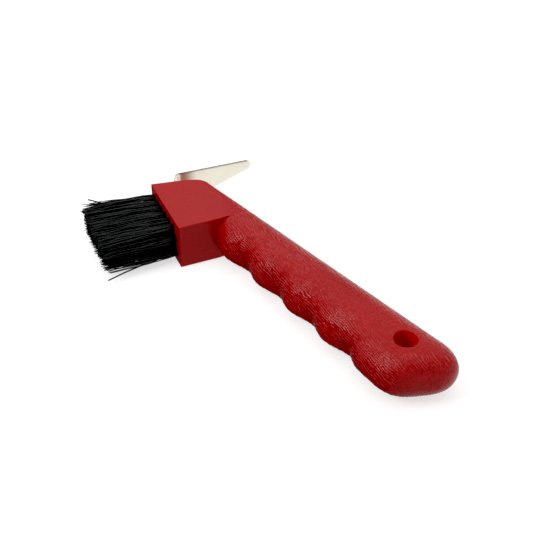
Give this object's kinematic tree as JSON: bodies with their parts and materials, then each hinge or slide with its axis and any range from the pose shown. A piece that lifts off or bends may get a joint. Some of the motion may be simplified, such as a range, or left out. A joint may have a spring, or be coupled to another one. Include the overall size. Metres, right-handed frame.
{
  "type": "hoof pick with brush",
  "caption": "Hand tool for cleaning hooves: finger-grip plastic handle with a hang hole, square head with a stiff brush on one side and a bent steel pick on the other.",
  "frame": {"origin": "centre of the tool's bounding box, on the plane it lies on", "axes": "+X along the grip from the head to the hang-hole end, -Y towards the brush, +Y towards the pick blade, +Z through the thickness, up from the flat side it lies on"},
  "size_m": [0.1762, 0.0964, 0.021],
  "materials": {
    "red_plastic": "moulded red plastic: smooth semi-gloss head, fine wavy grain on the grip",
    "plated_steel": "bright nickel-plated steel strip with a warm tint",
    "bristle": "black crimp-free synthetic bristle, slightly glossy",
    "anchor_wire": "flat drawn wire"
  },
  "bodies": {
    "root": {"handle_body": "red_plastic", "pick_blade": "plated_steel", "bristle_tuft_1_1": "bristle", "tuft_anchor_1_1": "anchor_wire", "bristle_tuft_1_2": "bristle", "tuft_anchor_1_2": "anchor_wire", "bristle_tuft_1_3": "bristle", "tuft_anchor_1_3": "anchor_wire", "bristle_tuft_1_4": "bristle", "tuft_anchor_1_4": "anchor_wire", "bristle_tuft_1_5": "bristle", "tuft_anchor_1_5": "anchor_wire", "bristle_tuft_1_6": "bristle", "tuft_anchor_1_6": "anchor_wire", "bristle_tuft_2_1": "bristle", "tuft_anchor_2_1": "anchor_wire", "bristle_tuft_2_2": "bristle", "tuft_anchor_2_2": "anchor_wire", "bristle_tuft_2_3": "bristle", "tuft_anchor_2_3": "anchor_wire", "bristle_tuft_2_4": "bristle", "tuft_anchor_2_4": "anchor_wire", "bristle_tuft_2_5": "bristle", "tuft_anchor_2_5": "anchor_wire", "bristle_tuft_2_6": "bristle", "tuft_anchor_2_6": "anchor_wire", "bristle_tuft_3_1": "bristle", "tuft_anchor_3_1": "anchor_wire", "bristle_tuft_3_2": "bristle", "tuft_anchor_3_2": "anchor_wire", "bristle_tuft_3_3": "bristle", "tuft_anchor_3_3": "anchor_wire", "bristle_tuft_3_4": "bristle", "tuft_anchor_3_4": "anchor_wire", "bristle_tuft_3_5": "bristle", "tuft_anchor_3_5": "anchor_wire", "bristle_tuft_3_6": "bristle", "tuft_anchor_3_6": "anchor_wire", "bristle_tuft_4_1": "bristle", "tuft_anchor_4_1": "anchor_wire", "bristle_tuft_4_2": "bristle", "tuft_anchor_4_2": "anchor_wire", "bristle_tuft_4_3": "bristle", "tuft_anchor_4_3": "anchor_wire", "bristle_tuft_4_4": "bristle", "tuft_anchor_4_4": "anchor_wire", "bristle_tuft_4_5": "bristle", "tuft_anchor_4_5": "anchor_wire", "bristle_tuft_4_6": "bristle", "tuft_anchor_4_6": "anchor_wire"}
  },
  "joints": []
}
